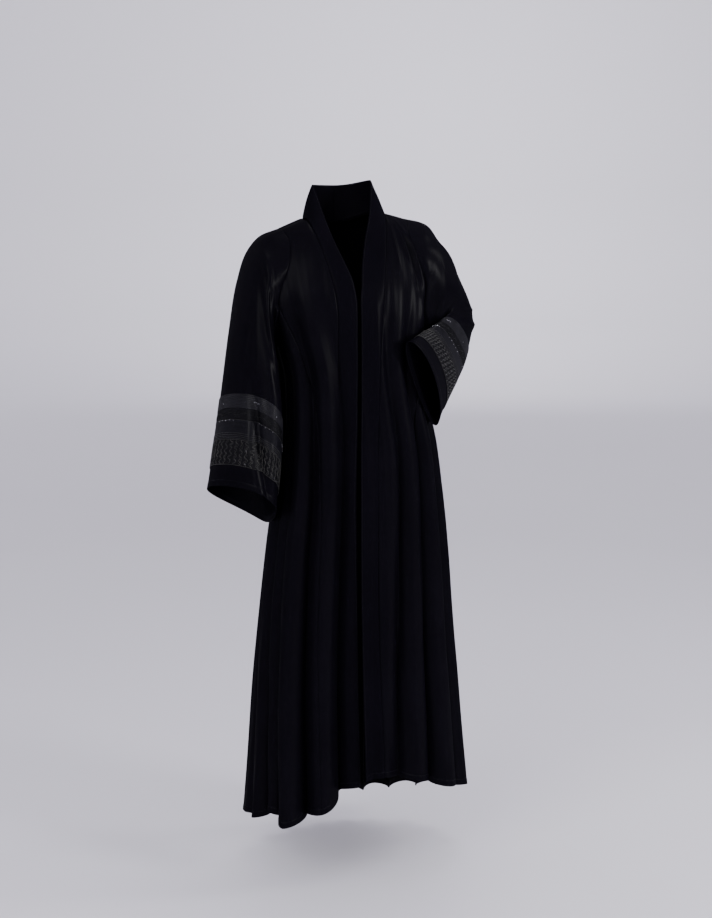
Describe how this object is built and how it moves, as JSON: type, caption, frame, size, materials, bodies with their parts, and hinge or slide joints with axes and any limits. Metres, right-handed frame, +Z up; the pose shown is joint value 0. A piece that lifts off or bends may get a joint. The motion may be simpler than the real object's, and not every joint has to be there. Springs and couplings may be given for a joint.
{
  "type": "abaya cloak",
  "caption": "Full-length open-front abaya cloak with a standing collar and front band, flared side panels and wide sleeves trimmed with lace and satin strips above the cuff.",
  "frame": {"origin": "midway between the two points where the shoulder seams meet the neck seam, where the wearer's neck and shoulders hold the cloak up", "axes": "+Z up, the wearer's front is -Y, the wearer's left is +X"},
  "size_m": [0.659, 0.3989, 1.5222],
  "materials": {
    "black_crepe": "matt crepe, black with a faint violet cast",
    "black_crepe_band": "the same crepe, doubled and pressed",
    "lace_strip": "silver-grey embroidered lace on black net, laid on the cloth",
    "satin_strip": "grey satin with fine parallel lines",
    "vine_strip": "dark strip embroidered with leaves",
    "tucked_strip": "grey satin in fine tucks"
  },
  "bodies": {
    "root": {"back_panel": "black_crepe", "front_panel_left": "black_crepe", "front_panel_right": "black_crepe", "side_panel_left": "black_crepe", "side_panel_right": "black_crepe", "band_left": "black_crepe_band", "band_right": "black_crepe_band", "sleeve_left": "black_crepe", "sleeve_right": "black_crepe", "lace_strip_left": "lace_strip", "lace_strip_right": "lace_strip", "satin_strip_left": "satin_strip", "satin_strip_right": "satin_strip", "vine_strip_left": "vine_strip", "vine_strip_right": "vine_strip", "tucked_strip_left": "tucked_strip", "tucked_strip_right": "tucked_strip"}
  },
  "joints": []
}
